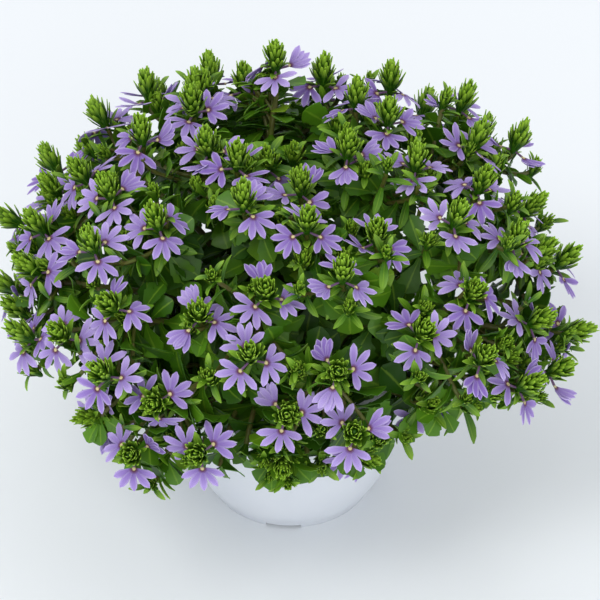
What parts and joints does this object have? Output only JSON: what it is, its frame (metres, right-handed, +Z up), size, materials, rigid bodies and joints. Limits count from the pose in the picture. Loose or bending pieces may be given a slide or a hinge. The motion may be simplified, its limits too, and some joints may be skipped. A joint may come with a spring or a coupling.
{
  "type": "potted fan flower",
  "caption": "Bushy fan flower: a dome of leafy stems with lilac half-round blooms under green bract heads, growing from soil in a round white plastic pot.",
  "frame": {"origin": "the centre of the pot's foot, on the surface that the pot stands on", "axes": "+Z is up, +X is to the right of the picture's view, and -Y is the side that the picture sees"},
  "size_m": [0.3067, 0.2571, 0.226],
  "materials": {
    "pot_plastic": "white, satin",
    "soil": "dark, crumbly, rough",
    "leaf": "leaf green, waxy",
    "petal": "lilac, soft"
  },
  "bodies": {
    "root": {"pot": "pot_plastic", "soil": "soil", "spray_01": "leaf", "blooms_01": "petal", "spray_02": "leaf", "blooms_02": "petal", "spray_03": "leaf", "blooms_03": "petal", "spray_04": "leaf", "blooms_04": "petal", "spray_05": "leaf", "blooms_05": "petal", "spray_06": "leaf", "blooms_06": "petal", "spray_07": "leaf", "blooms_07": "petal", "spray_08": "leaf", "blooms_08": "petal", "spray_09": "leaf", "blooms_09": "petal", "spray_10": "leaf", "blooms_10": "petal", "spray_11": "leaf", "blooms_11": "petal", "spray_12": "leaf", "blooms_12": "petal", "spray_13": "leaf", "blooms_13": "petal", "spray_14": "leaf", "blooms_14": "petal", "spray_15": "leaf", "blooms_15": "petal", "spray_16": "leaf", "blooms_16": "petal", "spray_17": "leaf", "blooms_17": "petal", "spray_18": "leaf", "blooms_18": "petal", "spray_19": "leaf", "blooms_19": "petal", "spray_20": "leaf", "blooms_20": "petal", "spray_21": "leaf", "blooms_21": "petal", "spray_22": "leaf", "blooms_22": "petal", "spray_tall": "leaf", "blooms_tall": "petal", "spray_long": "leaf", "blooms_long": "petal", "spray_left": "leaf", "blooms_left": "petal", "spray_corner": "leaf", "blooms_corner": "petal", "spray_low": "leaf"}
  },
  "joints": []
}
